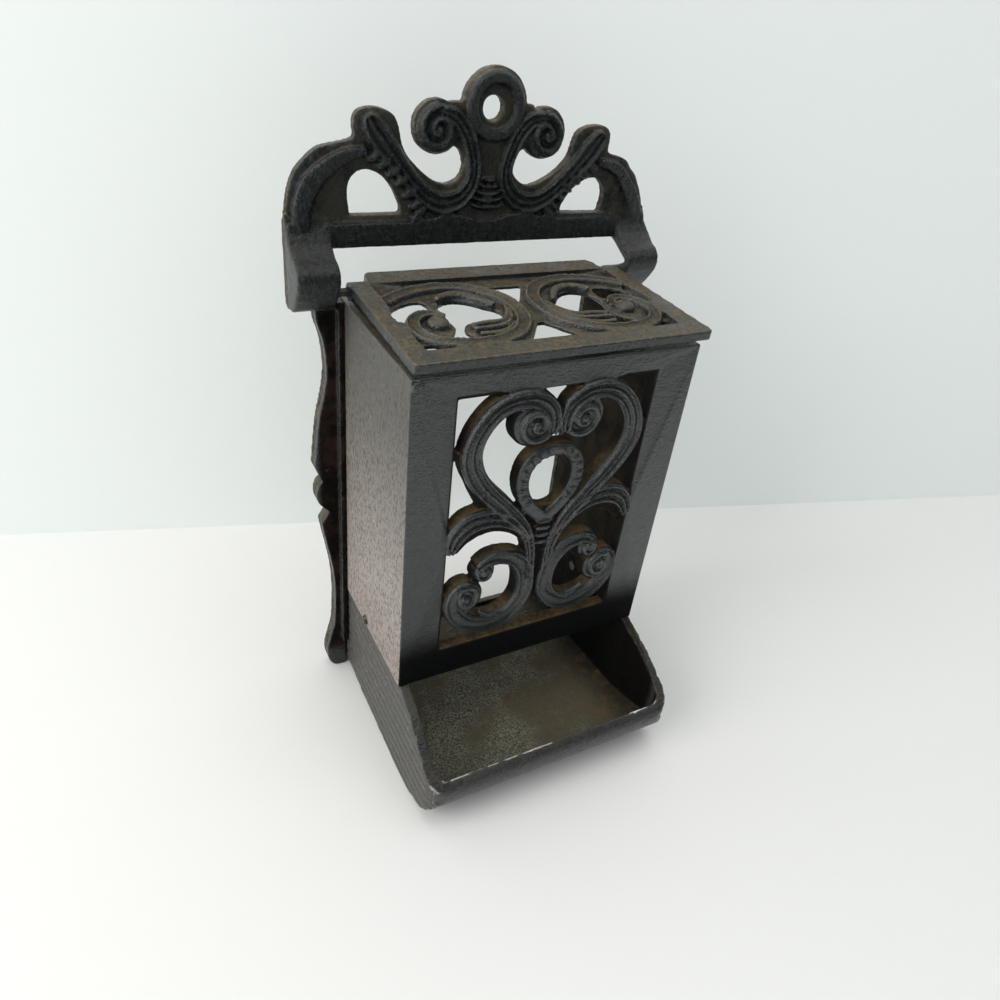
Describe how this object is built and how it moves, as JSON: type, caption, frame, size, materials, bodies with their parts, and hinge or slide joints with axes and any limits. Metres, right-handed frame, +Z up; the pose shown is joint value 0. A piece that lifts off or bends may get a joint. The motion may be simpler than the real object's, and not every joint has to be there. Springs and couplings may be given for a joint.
{
  "type": "matchbox holder",
  "caption": "Cast-iron matchbox holder with a pierced scrollwork front, a hinged pierced lid, a ribbed scoop tray below and a scrolled crest with a hanging hole.",
  "frame": {"origin": "middle of the footprint, on the surface the holder can stand on", "axes": "+Z up, +Y towards the wall the back lies on, the pierced front faces -Y, +X to the right seen from the front"},
  "size_m": [0.1008, 0.0728, 0.1749],
  "materials": {
    "dark_iron": "near-black sand-cast iron with a faint blue-green sheen",
    "front_iron": "satin dark slate grey cast iron",
    "worn_iron": "dusty brown-grey worn cast iron",
    "rivet_steel": "dull darkened steel"
  },
  "bodies": {
    "frame": {"back_casting": "dark_iron", "box_shell": "front_iron", "tray": "worn_iron", "tray_rivet_left": "rivet_steel", "tray_rivet_right": "rivet_steel", "hinge_rod": "rivet_steel"},
    "lid": {"lid": "worn_iron"}
  },
  "joints": [
    {"name": "lid_hinge", "type": "hinge", "parent": "frame", "child": "lid", "pos_m": [0, 0.0291, 0.1263], "axis": [-1, 0, 0], "range_deg": [0, 95]}
  ]
}
